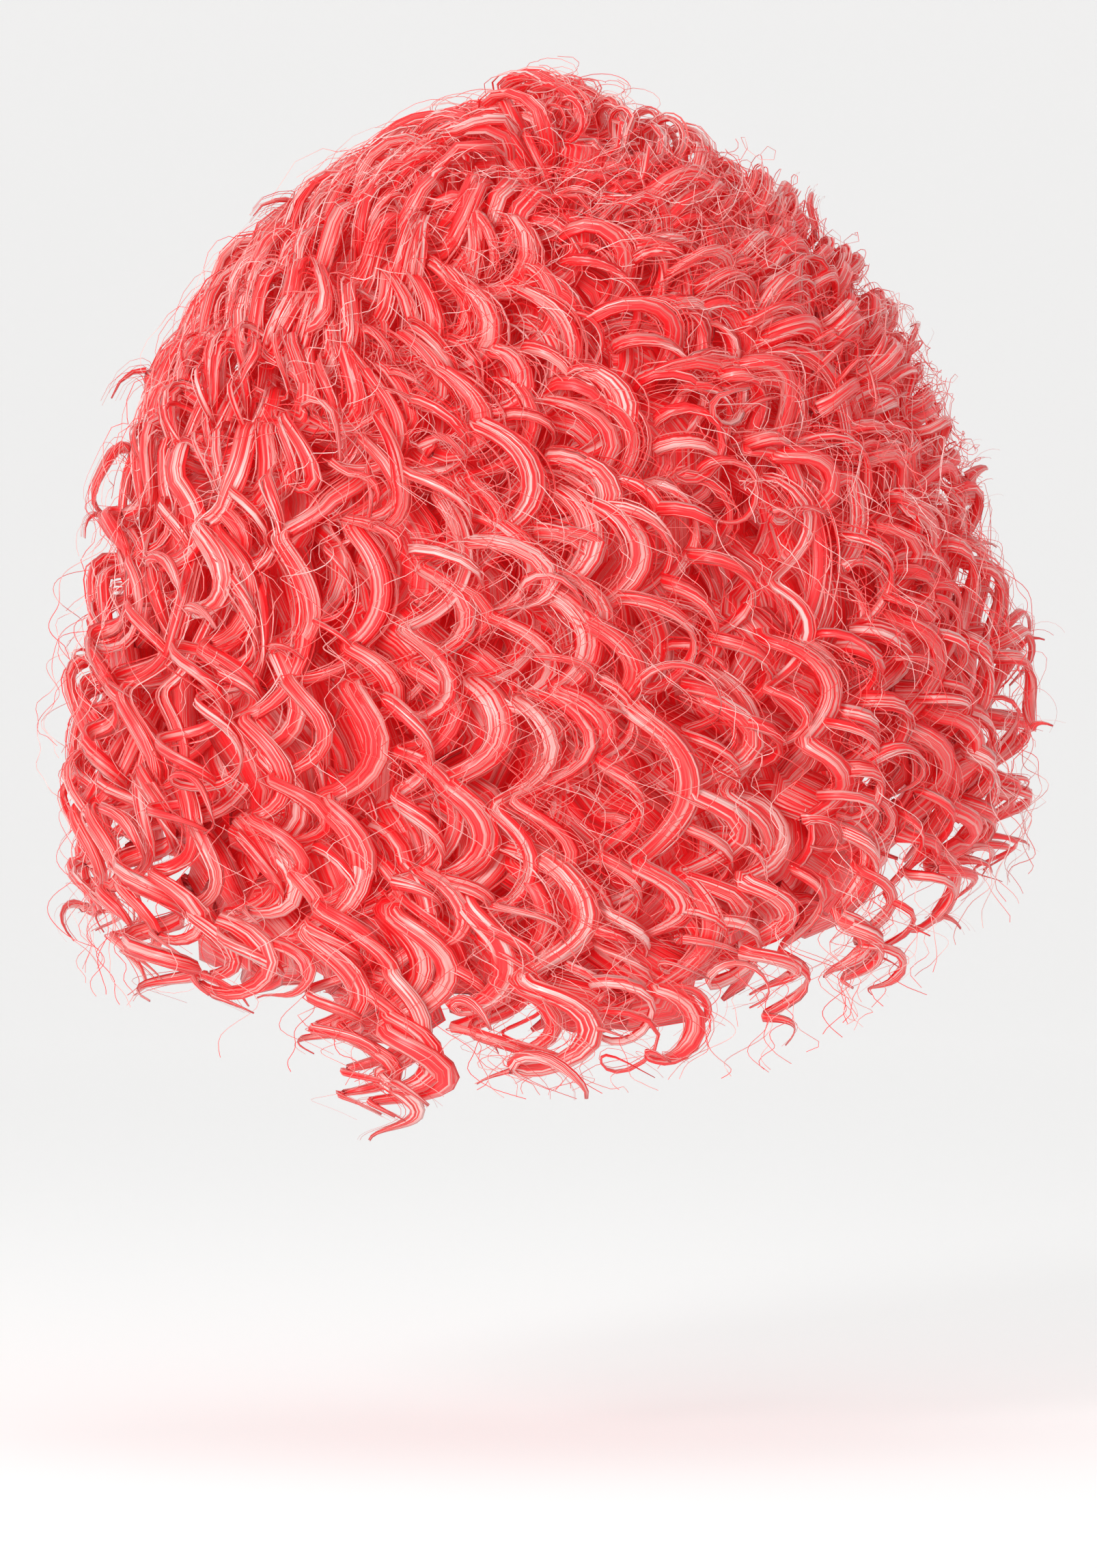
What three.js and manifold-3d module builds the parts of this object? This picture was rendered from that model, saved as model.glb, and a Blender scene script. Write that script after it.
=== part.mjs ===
// A clown wig as it sits on a head: a net cap with an elastic edge band, and five rings of weft
// sewn round the crown swirl, each a narrow track with curled locks fused to it.
// Millimetres, +Z up. The origin is where the top of the head touches the cap; the back of the
// wig faces -Y and the face opening faces +Y.
import * as THREE from 'three';
import Module from 'manifold-3d';

const wasm = await Module();
wasm.setup();

// Head form that the cap is cut to
const headHalfBreadth = 76;
const headHalfDepth = 95;
const crownHeight = 95; // crown to the widest level of the head
const napeStretch = 140; // half height of the head form below that level
const whorlTilt = THREE.MathUtils.degToRad(42); // the crown swirl sits this far back from the top

// Cap and edge band
const capWall = 1.6;
const napeDrop = 168;
const earDrop = 98;
const tabDrop = 106;
const foreheadDrop = 52;
const bandWidth = 14;
const bandWall = 2.4;
const seamClearance = 0.35;
const capSides = 28;
const capRings = 6;

// Weft tracks
const trackWidth = 8;
const trackWall = 2;

// Outer form of the hair
const hairRise = 48; // above the crown
const hemDrop = 312; // below the crown, at the middle of the back
const hairHalfWidth = 181;
const hairBack = 168;
const hairFront = 134;
const hangLevel = 110; // below the crown; lower down the hair hangs straight
const hairBody = 54; // thickness of the mass of locks
const faceTurn = 136; // the face opening's edge, in degrees from the middle of the back
const templeGap = 6; // degrees kept free of locks each side of that edge
const sideTurn = 90; // straight to the side, in degrees from the middle of the back

// Locks
const lockSpacing = 58;
const lockFill = 0.88; // a lock's width as a share of the spacing
const browCrowding = 1.2; // locks over the brow sit this much closer
const curlSwing = 12; // sideways, each way
const curlPitch = 84;
const stepLength = 15;
const rootHalf = 2.2;
const rootWidth = 8;
const riseLength = 46; // a lock leaves the cap over this length
const weldTolerance = 0.08; // slivers under this are merged where locks join
const tipShare = 0.35; // of a lock's length, over which it narrows to its tip
const shortestLock = 0.94; // of the full length from root to tip
const phaseScatter = 0.06; // of a curl, from lock to lock
const fewestSteps = 5; // rings of points in the shortest lock

// The cap's rim from the middle of the nape round to the forehead
const rimTable = [
  { turn: 0, drop: napeDrop },
  { turn: 34, drop: 0.97 * napeDrop },
  { turn: 66, drop: mix(earDrop, napeDrop, 0.34) },
  { turn: 88, drop: earDrop },
  { turn: 108, drop: tabDrop },
  { turn: 128, drop: mix(foreheadDrop, tabDrop, 0.5) },
  { turn: 150, drop: 1.1 * foreheadDrop },
  { turn: 180, drop: foreheadDrop },
];

// Level sections of the hair's outer form: level as a share of its height from the top down to
// the hem, the others as shares of the hair's half width, back reach and front reach
const formTable = [
  { level: 0, width: 0, back: 0, front: 0 },
  { level: 0.015, width: 0.16, back: 0.26, front: 0.32 },
  { level: 0.05, width: 0.31, back: 0.43, front: 0.55 },
  { level: 0.12, width: 0.51, back: 0.59, front: 0.78 },
  { level: 0.2, width: 0.65, back: 0.71, front: 0.9 },
  { level: 0.3, width: 0.785, back: 0.82, front: 0.95 },
  { level: 0.44, width: 0.895, back: 0.92, front: 0.8 },
  { level: 0.58, width: 0.985, back: 0.98, front: 0.68 },
  { level: 0.7, width: 1, back: 1, front: 0.64 },
  { level: 0.85, width: 0.965, back: 0.99, front: 0.6 },
  { level: 1, width: 0.9, back: 0.95, front: 0.58 },
  { level: 1.1, width: 0.84, back: 0.9, front: 0.56 },
];

// How low the hair reaches, by turn from the middle of the back, positive to the right: hem is a
// share of hemDrop, brow a share of foreheadDrop, and tuft, a share of hemDrop, is how far the
// lowest locks run past the hem
const hemTable = [
  { turn: -180, hem: 0, brow: 1.25, tuft: 0 },
  { turn: -faceTurn - templeGap, hem: 0, brow: 1.5, tuft: 0 },
  { turn: templeGap - faceTurn, hem: 0.74, brow: 0, tuft: 0 },
  { turn: -96, hem: 0.84, brow: 0, tuft: 0.02 },
  { turn: -60, hem: 0.89, brow: 0, tuft: 0 },
  { turn: -30, hem: 0.96, brow: 0, tuft: 0 },
  { turn: -17, hem: 0.99, brow: 0, tuft: 0.09 },
  { turn: 0, hem: 1, brow: 0, tuft: 0.02 },
  { turn: 30, hem: 0.96, brow: 0, tuft: 0 },
  { turn: 60, hem: 0.87, brow: 0, tuft: -0.02 },
  { turn: 96, hem: 0.83, brow: 0, tuft: 0 },
  { turn: faceTurn - templeGap, hem: 0.73, brow: 0, tuft: 0 },
  { turn: faceTurn + templeGap, hem: 0, brow: 1.5, tuft: 0 },
  { turn: 180, hem: 0, brow: 1.25, tuft: 0 },
];

// Weft rings from the crown out to the rim: seat is where the track lies on the cap, as a share
// of the way from swirl to rim, and the tips are shares of the way from swirl to hem
const weftTable = [
  { name: 'crown_swirl', seat: 0.09, backTip: 0.32, browTip: 0.46, phase: 0.0 },
  { name: 'upper_weft', seat: 0.3, backTip: 0.47, browTip: 0.64, phase: 0.35 },
  { name: 'middle_weft', seat: 0.48, backTip: 0.64, browTip: 0.8, phase: 0.7 },
  { name: 'lower_weft', seat: 0.66, backTip: 0.82, browTip: 0.93, phase: 0.05 },
  { name: 'nape_weft', seat: 0.82, backTip: 1, browTip: 1, phase: 0.45 },
];

// Layers of the mass of locks, as shares of its thickness measured inwards to a layer's middle
const outerLayer = { depth: 0.25, half: 0.245 };
const coveredLayer = { depth: 0.66, half: 0.085 };
const rootLayer = { depth: 0.9, half: 0.05 };
const curlShare = 0.42; // of a lock's room that its curl takes, the lock itself has the rest
const liftBefore = 0.04; // of a way, before the covering locks' tips, where a lock starts to move out
const liftAfter = 0.07; // of a way, past those tips, where it has moved out

// How finely the forms are searched
const rayHalvings = 32;
const runSamples = 100;
const directionRun = 0.01; // of a way, ahead of a point, to find a lock's direction there
const phaseSalt = 3; // picks the row of repeatable numbers that sets the locks' phases

const hairColour = 0xe85650;
const netColour = 0x151316;
const bandColour = 0x1c1a1e;

function mix(from, to, share) {
  return from + (to - from) * share;
}

// A table's column at one place, as a smooth curve that never runs past its rows
function readTable(table, key, column, place) {
  const last = table.length - 1;
  const at = THREE.MathUtils.clamp(place, table[0][key], table[last][key]);
  let row = 0;
  while (row < last - 1 && at > table[row + 1][key]) row += 1;
  const slope = (i) => (table[i + 1][column] - table[i][column]) / (table[i + 1][key] - table[i][key]);
  const lean = (i) => {
    if (i === 0) return slope(0);
    if (i === last) return slope(last - 1);
    const before = slope(i - 1);
    const after = slope(i);
    return before * after <= 0 ? 0 : (2 * before * after) / (before + after);
  };
  const span = table[row + 1][key] - table[row][key];
  const s = (at - table[row][key]) / span;
  const stay = 1 - s;
  return (
    table[row][column] * stay * stay * (1 + 2 * s) +
    table[row + 1][column] * s * s * (1 + 2 * stay) +
    lean(row) * span * stay * stay * s -
    lean(row + 1) * span * s * s * stay
  );
}

// A repeatable number from 0 to 1 for a numbered lock
function scatter(index, salt) {
  const value = Math.sin(index * 12.9898 + salt * 78.233) * 43758.5453;
  return value - Math.floor(value);
}

// Unit vector for a turn from the middle of the back and a tilt from straight up
function heading(turn, tilt) {
  const angle = THREE.MathUtils.degToRad(turn);
  return new THREE.Vector3(
    Math.sin(tilt) * Math.sin(angle),
    -Math.sin(tilt) * Math.cos(angle),
    Math.cos(tilt),
  );
}

function arcBetween(from, to, share) {
  const angle = from.angleTo(to);
  return from
    .clone()
    .multiplyScalar(Math.sin((1 - share) * angle))
    .addScaledVector(to, Math.sin(share * angle))
    .divideScalar(Math.sin(angle));
}

const capWhorl = heading(0, whorlTilt);

function capArc(turn) {
  const drop = readTable(rimTable, 'turn', 'drop', Math.abs(turn));
  const tall = drop < crownHeight ? crownHeight : napeStretch;
  return heading(turn, Math.acos((crownHeight - drop) / tall));
}

// A point over the head form: share is 0 at the swirl and 1 at the cap's rim
function onCap(turn, share, offset) {
  const unit = arcBetween(capWhorl, capArc(turn), share);
  const tall = unit.z > 0 ? crownHeight : napeStretch;
  return new THREE.Vector3(
    (headHalfBreadth + offset) * unit.x,
    (headHalfDepth + offset) * unit.y,
    (tall + offset) * unit.z - crownHeight,
  );
}

function capLength(turn) {
  return capWhorl.angleTo(capArc(turn)) * mix(headHalfBreadth, headHalfDepth, 0.5);
}

function insideHead(point) {
  const level = Math.max(point.z, -napeDrop) + crownHeight;
  const tall = level > 0 ? crownHeight : napeStretch;
  const share = (point.x / headHalfBreadth) ** 2 + (point.y / headHalfDepth) ** 2;
  return share + (level / tall) ** 2 < 1;
}

function insideHair(point) {
  const level = (hairRise - point.z) / (hairRise + hemDrop);
  if (level <= 0) return false;
  const width = hairHalfWidth * readTable(formTable, 'level', 'width', level);
  const side = point.y < 0 ? 'back' : 'front';
  const reach = point.y < 0 ? hairBack : hairFront;
  const depth = reach * readTable(formTable, 'level', side, level);
  return (point.x / width) ** 2 + (point.y / depth) ** 2 < 1;
}

// Distance along a ray to where a form's surface is crossed
function distanceTo(inside, origin, ray) {
  let near = 0;
  let far = 2 * (hairHalfWidth + hairBack);
  for (let pass = 0; pass < rayHalvings; pass += 1) {
    const middle = (near + far) / 2;
    if (inside(origin.clone().addScaledVector(ray, middle))) near = middle;
    else far = middle;
  }
  return near;
}

const hairCentre = new THREE.Vector3(0, 0, -hangLevel);
const hairWhorl = onCap(0, 0, hairBody).sub(hairCentre).normalize();

// The way that a lock takes over the hair's form, from the swirl at run 0 to the hem at run 1:
// an arc round the crown and then straight down
function hairWay(turn) {
  const hem = readTable(hemTable, 'turn', 'hem', turn) * hemDrop;
  const drop = hem + readTable(hemTable, 'turn', 'brow', turn) * foreheadDrop;
  const endTilt = Math.atan2(hairFront, Math.max(0, hangLevel - drop));
  const end = heading(turn, endTilt);
  const arc = hairWhorl.angleTo(end) * (hairRise + hangLevel);
  const fall = Math.max(0, drop - hangLevel);
  return { end, arc, fall, length: arc + fall };
}

function hairRay(way, run) {
  const along = run * way.length;
  if (along < way.arc) {
    return { origin: hairCentre, ray: arcBetween(hairWhorl, way.end, along / way.arc) };
  }
  const origin = hairCentre.clone();
  origin.z -= along - way.arc;
  return { origin, ray: way.end };
}

// The run whose ray passes nearest to a point on the cap
function nearestRun(way, point) {
  const runs = Array.from({ length: runSamples + 1 }, (_, index) => index / runSamples);
  const missOf = (run) => {
    const { origin, ray } = hairRay(way, run);
    return point.clone().sub(origin).cross(ray).length();
  };
  return runs.reduce((best, run) => (missOf(run) < missOf(best) ? run : best), 0);
}

// Skins rings of points; a ring of one point is a tip, and wrap joins the last ring to the first
function skin(rings, wrap = false) {
  const positions = [];
  const faces = [];
  const starts = [];
  for (const ring of rings) {
    starts.push(positions.length / 3);
    for (const point of ring) positions.push(point.x, point.y, point.z);
  }
  const joins = wrap ? rings.length : rings.length - 1;
  for (let r = 0; r < joins; r += 1) {
    const next = (r + 1) % rings.length;
    const here = rings[r].length;
    const there = rings[next].length;
    for (let i = 0; i < Math.max(here, there); i += 1) {
      const a = starts[r] + (i % here);
      const b = starts[r] + ((i + 1) % here);
      const c = starts[next] + (i % there);
      const d = starts[next] + ((i + 1) % there);
      if (here > 1) faces.push([a, b, c]);
      if (there > 1) faces.push([b, d, c]);
    }
  }
  if (!wrap) {
    const foot = rings[0].length;
    for (let i = 1; i < foot - 1; i += 1) faces.push([starts[0], starts[0] + i + 1, starts[0] + i]);
    const top = starts[rings.length - 1];
    const count = rings[rings.length - 1].length;
    for (let i = 1; i < count - 1; i += 1) faces.push([top, top + i, top + i + 1]);
  }
  const corner = (i) => new THREE.Vector3().fromArray(positions, 3 * i);
  const volume = faces.reduce((sum, [a, b, c]) => sum + corner(a).dot(corner(b).cross(corner(c))), 0);
  const turned = volume < 0 ? faces.map(([a, b, c]) => [a, c, b]) : faces;
  return { vertProperties: new Float32Array(positions), triVerts: new Uint32Array(turned.flat()) };
}

function solidOf(shape) {
  return new wasm.Manifold(new wasm.Mesh({ numProp: 3, ...shape }));
}

function meshOf(name, shape, material) {
  const geometry = new THREE.BufferGeometry();
  geometry.setAttribute('position', new THREE.BufferAttribute(shape.vertProperties, 3));
  geometry.setIndex(new THREE.BufferAttribute(shape.triVerts, 1));
  geometry.computeVertexNormals();
  const mesh = new THREE.Mesh(geometry, material);
  mesh.name = name;
  return mesh;
}

function capTurn(side) {
  return (360 * side) / capSides - 180;
}

// A loop of points round the cap, at a share of the way from swirl to rim given for each turn
function capLoop(shareOf, offset) {
  return Array.from({ length: capSides }, (_, side) => {
    return onCap(capTurn(side), shareOf(capTurn(side)), offset);
  });
}

function aboveBand(turn) {
  return 1 - bandWidth / capLength(turn);
}

// The cap's rings run from the swirl to the rim, with the last but one along the edge band's
// upper edge, so that cap and band are parallel
function capRing(ring, offset) {
  const shareOf = (turn) => (ring === capRings ? 1 : (ring / (capRings - 1)) * aboveBand(turn));
  return capLoop(shareOf, offset);
}

// The net cap is a dome wall, open at the neck and the face
function wigCap() {
  const rings = Array.from({ length: capRings }, (_, ring) => ring + 1);
  const outside = rings.map((ring) => capRing(ring, capWall));
  const inside = rings.map((ring) => capRing(ring, 0)).reverse();
  return skin([[onCap(0, 0, capWall)], ...outside, ...inside, [onCap(0, 0, 0)]]);
}

// A flat strip round the cap between two shares of the way from swirl to rim
function strip(upperOf, lowerOf, wall) {
  const low = capWall + seamClearance;
  const inner = [capLoop(upperOf, low), capLoop(lowerOf, low)];
  const outer = [capLoop(lowerOf, low + wall), capLoop(upperOf, low + wall)];
  return skin([...inner, ...outer], true);
}

function edgeBand() {
  return strip(aboveBand, () => 1, bandWall);
}

// The crown swirl is sewn to a small round patch, the other wefts to a closed ring of track
function weftTrack(weft, isCrown) {
  const half = (turn) => trackWidth / 2 / capLength(turn);
  const upper = (turn) => weft.seat - half(turn);
  const lower = (turn) => weft.seat + half(turn);
  if (!isCrown) return strip(upper, lower, trackWall);
  const low = capWall + seamClearance;
  const high = low + trackWall;
  return skin([[onCap(0, 0, high)], capLoop(lower, high), capLoop(lower, low), [onCap(0, 0, low)]]);
}

function tipRun(weft, turn) {
  return Math.abs(turn) < faceTurn ? weft.backTip : weft.browTip;
}

// A lock moves out a layer where the locks that cover it end
function layerLift(run, coverRun) {
  if (coverRun < 0) return 1;
  return THREE.MathUtils.smoothstep(run, coverRun - liftBefore, coverRun + liftAfter);
}

// One lock: it leaves its track, comes out through the hair to the outer form and curls down it
function lock(weft, above, buried, turn, turnStep, index) {
  const way = hairWay(turn);
  const towardsBack = Math.abs(turn) < faceTurn && turn > 0;
  const towardsBrow = Math.abs(turn) > faceTurn && turn < 0;
  const besideWay = hairWay(turn + (towardsBack || towardsBrow ? -turnStep : turnStep));
  const root = onCap(turn, weft.seat, capWall + seamClearance + rootHalf);
  const rootRun = nearestRun(way, root);
  const shorten = mix(shortestLock, 1, scatter(index, weft.seat));
  const tuft = (readTable(hemTable, 'turn', 'tuft', turn) * hemDrop) / way.length;
  const tip = tipRun(weft, turn);
  const endRun = mix(rootRun, tip, shorten) + (tip === 1 ? tuft : 0);
  const coverRun = above ? tipRun(above, turn) : -1;
  const buryRun = buried ? tipRun(buried, turn) : -1;
  const length = (endRun - rootRun) * way.length;
  const steps = Math.max(fewestSteps, Math.ceil(length / stepLength));
  const rings = [];
  for (let step = 0; step < steps; step += 1) {
    const share = step / steps;
    const run = mix(rootRun, endRun, share);
    const { origin, ray } = hairRay(way, run);
    const later = hairRay(way, run + directionRun);
    const reach = distanceTo(insideHair, origin, ray);
    const body = Math.min(reach - distanceTo(insideHead, origin, ray), hairBody);
    const lift = layerLift(run, coverRun);
    const start = layerLift(run, buryRun);
    const room = body * mix(mix(rootLayer.half, coveredLayer.half, start), outerLayer.half, lift);
    const depth = body * mix(mix(rootLayer.depth, coveredLayer.depth, start), outerLayer.depth, lift);
    const risen = THREE.MathUtils.smoothstep(share * length, 0, riseLength);
    const place = origin.clone().addScaledVector(ray, reach - depth);
    const onward = later.origin.clone().addScaledVector(later.ray, reach - depth).sub(place);
    const across = ray.clone().cross(onward).normalize();
    const ownPhase = weft.phase + phaseScatter * scatter(index, phaseSalt);
    const phase = 2 * Math.PI * ((share * length) / curlPitch + ownPhase);
    const swell = Math.min(1, Math.sqrt((1 - share) / tipShare));
    const opened = THREE.MathUtils.smoothstep(share * length, 0, riseLength / 2);
    const thick = mix(rootHalf, room * (1 - curlShare) * swell, risen);
    const beside = hairRay(besideWay, run);
    const fan = beside.origin.clone().addScaledVector(beside.ray, reach - depth).distanceTo(place);
    const wide = mix(rootWidth / 2, (Math.min(fan, lockSpacing) / 2) * lockFill * swell, opened);
    place.addScaledVector(across, curlSwing * Math.sin(phase) * risen);
    place.addScaledVector(ray, room * curlShare * Math.cos(phase));
    const centre = root.clone().lerp(place, risen);
    rings.push([
      centre.clone().addScaledVector(across, wide),
      centre.clone().addScaledVector(ray, thick),
      centre.clone().addScaledVector(across, -wide),
      centre.clone().addScaledVector(ray, -thick),
    ]);
  }
  const { origin, ray } = hairRay(way, endRun);
  const reach = distanceTo(insideHair, origin, ray);
  rings.push([origin.clone().addScaledVector(ray, reach - hairBody * outerLayer.depth)]);
  return skin(rings);
}

// Turns of a weft's locks: round the back from cheek to cheek and over the brow, with the locks
// of each ring set between those of the ring above
function lockTurns(count, row) {
  const groups = [
    { middle: 0, half: faceTurn - templeGap, crowding: 1 },
    { middle: 180, half: 180 - faceTurn - templeGap, crowding: browCrowding },
  ];
  const inset = row % 2 === 0 ? 0.5 : 0;
  return groups.flatMap(({ middle, half, crowding }) => {
    const steps = Math.max(2, Math.round((crowding * count * half) / 180));
    const places = Array.from({ length: steps + 1 - 2 * inset }, (_, index) => (index + inset) / steps);
    return places.map((place) => ({
      turn: THREE.MathUtils.euclideanModulo(middle + half * (2 * place - 1) + 180, 360) - 180,
      turnStep: (2 * half) / steps,
    }));
  });
}

function weftRing(row) {
  const [weft, above, buried] = [weftTable[row], weftTable[row - 1], weftTable[row - 2]];
  const { origin, ray } = hairRay(hairWay(sideTurn), weft.backTip);
  const tips = ray.clone().multiplyScalar(distanceTo(insideHair, origin, ray));
  const count = Math.round((2 * Math.PI * Math.hypot(tips.x, tips.y)) / lockSpacing);
  let solid = solidOf(weftTrack(weft, !above));
  lockTurns(count, row).forEach(({ turn, turnStep }, index) => {
    solid = solid.add(solidOf(lock(weft, above, buried, turn, turnStep, index)));
  });
  const { vertProperties, triVerts } = solid.simplify(weldTolerance).getMesh();
  return { vertProperties, triVerts };
}

const wig = new THREE.Group();
const netMaterial = new THREE.MeshStandardMaterial({ color: netColour, roughness: 0.85, metalness: 0 });
const bandMaterial = new THREE.MeshStandardMaterial({ color: bandColour, roughness: 0.9, metalness: 0 });
const hairMaterial = new THREE.MeshStandardMaterial({ color: hairColour, roughness: 0.42, metalness: 0 });

wig.add(meshOf('wig_cap', wigCap(), netMaterial));
wig.add(meshOf('edge_band', edgeBand(), bandMaterial));
weftTable.forEach((weft, row) => {
  wig.add(meshOf(weft.name, weftRing(row), hairMaterial));
});

export default wig;
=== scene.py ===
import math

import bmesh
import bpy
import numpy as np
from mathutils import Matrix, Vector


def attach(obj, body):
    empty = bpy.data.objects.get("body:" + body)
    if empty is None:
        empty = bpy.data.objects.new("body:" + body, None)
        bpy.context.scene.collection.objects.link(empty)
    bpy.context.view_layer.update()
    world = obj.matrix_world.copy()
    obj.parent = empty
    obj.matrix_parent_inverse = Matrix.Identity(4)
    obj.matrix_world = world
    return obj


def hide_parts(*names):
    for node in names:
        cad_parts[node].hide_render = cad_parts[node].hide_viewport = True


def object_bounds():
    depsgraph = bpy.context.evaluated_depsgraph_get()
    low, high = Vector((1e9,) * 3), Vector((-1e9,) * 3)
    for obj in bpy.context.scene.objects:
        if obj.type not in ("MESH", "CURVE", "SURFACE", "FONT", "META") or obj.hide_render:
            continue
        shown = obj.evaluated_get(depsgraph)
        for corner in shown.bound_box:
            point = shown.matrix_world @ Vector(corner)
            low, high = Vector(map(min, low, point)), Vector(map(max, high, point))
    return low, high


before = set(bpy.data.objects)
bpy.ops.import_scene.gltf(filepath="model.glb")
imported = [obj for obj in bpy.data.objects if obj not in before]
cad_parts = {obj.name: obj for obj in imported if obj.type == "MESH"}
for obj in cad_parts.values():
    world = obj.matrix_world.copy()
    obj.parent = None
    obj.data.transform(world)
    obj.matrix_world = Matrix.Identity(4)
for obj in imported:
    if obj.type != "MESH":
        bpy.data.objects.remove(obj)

# %% [markdown]
# # A curly clown wig, seen from behind
# A costume wig is a net cap with wefts sewn to it in rings, and a weft is a narrow track that holds
# thousands of glossy synthetic fibres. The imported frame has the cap, the edge band and five wefts as
# plain solids. This lesson dresses them: real net on the cap, ribbed elastic on the edge, and on each
# weft hundreds of curled locks made of strands. The frame keeps its size, so its box is noted first.

cad_low, cad_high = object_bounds()
MM = 0.001
print("frame box, mm:", [round(v / MM) for v in cad_high - cad_low])

# %% [markdown]
# ## Where the hair lies
# Hair on a wig fills the space between the cap and an outer form. Both can be written as a few level
# sections, so every lock can ask how far out it may lie, instead of being placed by eye. The head is
# an ellipsoid that is longer below its widest level. The hair's form is a short table of sections,
# read as a smooth curve, with its lengths as shares of the half width, back reach and front reach.

# %% Named sizes, in metres
head_half_breadth = 76 * MM
head_half_depth = 95 * MM
crown_height = 95 * MM
nape_stretch = 140 * MM
whorl_tilt = math.radians(42)
cap_wall = 1.6 * MM
nape_drop = 168 * MM
ear_drop = 98 * MM
tab_drop = 106 * MM
forehead_drop = 52 * MM
seam_clearance = 0.35 * MM
track_wall = 2 * MM
hair_rise = 48 * MM
hem_drop = 312 * MM
hair_half_width = 179 * MM
hair_back = 168 * MM
hair_front = 134 * MM
hang_level = 110 * MM
hair_body = 54 * MM
face_turn = 136
temple_gap = 6
cheek_turn = face_turn - temple_gap
brow_turn = 180 - face_turn - temple_gap
track_lift = cap_wall + seam_clearance + track_wall / 2
head_middle = np.array([0, 0, -crown_height])
tiny = 1e-6
halvings = 22

form_table = np.array([
    # level, width, back, front
    (0, 0, 0, 0),
    (0.015, 0.09, 0.2, 0.27),
    (0.05, 0.26, 0.39, 0.52),
    (0.12, 0.5, 0.585, 0.775),
    (0.2, 0.65, 0.71, 0.9),
    (0.3, 0.785, 0.82, 0.95),
    (0.44, 0.895, 0.92, 0.8),
    (0.58, 0.985, 0.98, 0.68),
    (0.7, 1, 1, 0.64),
    (0.85, 0.965, 0.99, 0.6),
    (1, 0.9, 0.95, 0.58),
    (1.1, 0.84, 0.9, 0.56),
])
rim_table = np.array([
    # turn, drop
    (0, nape_drop),
    (34, 0.97 * nape_drop),
    (66, 0.66 * ear_drop + 0.34 * nape_drop),
    (88, ear_drop),
    (108, tab_drop),
    (128, 0.5 * (forehead_drop + tab_drop)),
    (150, 1.1 * forehead_drop),
    (180, forehead_drop),
])
hem_table = np.array([
    # turn, drop
    (-180, 1.25 * forehead_drop),
    (-face_turn - temple_gap, 1.5 * forehead_drop),
    (-cheek_turn, 0.74 * hem_drop),
    (-96, 0.9 * hem_drop),
    (-60, 0.95 * hem_drop),
    (-40, 1.0 * hem_drop),
    (-17, 1.03 * hem_drop),
    (0, 1.03 * hem_drop),
    (28, 1.01 * hem_drop),
    (42, 0.95 * hem_drop),
    (56, 0.9 * hem_drop),
    (75, 0.82 * hem_drop),
    (96, 0.78 * hem_drop),
    (cheek_turn, 0.73 * hem_drop),
    (face_turn + temple_gap, 1.5 * forehead_drop),
    (180, 1.25 * forehead_drop),
])


def smoothstep(low, high, value):
    share = np.clip((value - low) / (high - low), 0, 1)
    return share * share * (3 - 2 * share)


def mix(start, end, share):
    return start + (end - start) * share


def smooth_columns(table, samples=400, passes=6):
    """The table read closely and evened out, so that locks get no kinks at its rows."""
    places = np.linspace(table[0, 0], table[-1, 0], samples)
    columns = [np.interp(places, table[:, 0], table[:, i]) for i in range(1, table.shape[1])]
    for _ in range(passes):
        columns = [np.convolve(np.pad(c, 2, mode="edge"), np.ones(5) / 5, mode="valid") for c in columns]
    return places, columns


FORM_PLACES, (FORM_WIDTH, FORM_BACK, FORM_FRONT) = smooth_columns(form_table)
print("hair form:", len(form_table), "sections over", round((hair_rise + hem_drop) / MM), "mm")

# %% [markdown]
# ## Rays, ways and the cap
# A way is the path that a lock takes over the outer form: an arc from the whorl round the crown, then
# straight down. Points on it are found by a ray from the middle of the head, or lower down from the
# axis, and the ray's length says how deep a lock lies. Whole arrays of rays are halved together,
# because thousands of points are asked for.

# %% Rays to the two forms


def heading(turn, tilt):
    angle, tilt = np.broadcast_arrays(np.radians(turn), tilt)
    return np.stack([np.sin(tilt) * np.sin(angle), -np.sin(tilt) * np.cos(angle), np.cos(tilt)], -1)


def unit(vectors):
    return vectors / np.maximum(np.linalg.norm(vectors, axis=-1, keepdims=True), 1e-12)


def arc_between(start, end, share):
    angle = np.arccos(np.clip((start * end).sum(-1, keepdims=True), -1, 1))
    share = np.asarray(share)[..., None]
    return (np.sin((1 - share) * angle) * start + np.sin(share * angle) * end) / np.sin(angle)


def cap_arc(turn):
    drop = np.interp(np.abs(turn), rim_table[:, 0], rim_table[:, 1])
    tall = np.where(drop < crown_height, crown_height, nape_stretch)
    return heading(turn, np.arccos((crown_height - drop) / tall))


def on_cap(turn, share, offset):
    """Points over the head form, from the swirl at share 0 to the cap's rim at share 1."""
    turn, share = np.broadcast_arrays(np.asarray(turn, float), np.asarray(share, float))
    way = arc_between(heading(np.zeros_like(turn), whorl_tilt), cap_arc(turn), share)
    tall = np.where(way[..., 2] > 0, crown_height, nape_stretch)
    return np.stack([
        (head_half_breadth + offset) * way[..., 0],
        (head_half_depth + offset) * way[..., 1],
        (tall + offset) * way[..., 2] - crown_height,
    ], -1)


def inside_head(points):
    level = np.maximum(points[..., 2], -nape_drop) + crown_height
    tall = np.where(level > 0, crown_height, nape_stretch)
    around = (points[..., 0] / head_half_breadth) ** 2 + (points[..., 1] / head_half_depth) ** 2
    return around + (level / tall) ** 2 < 1


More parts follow.
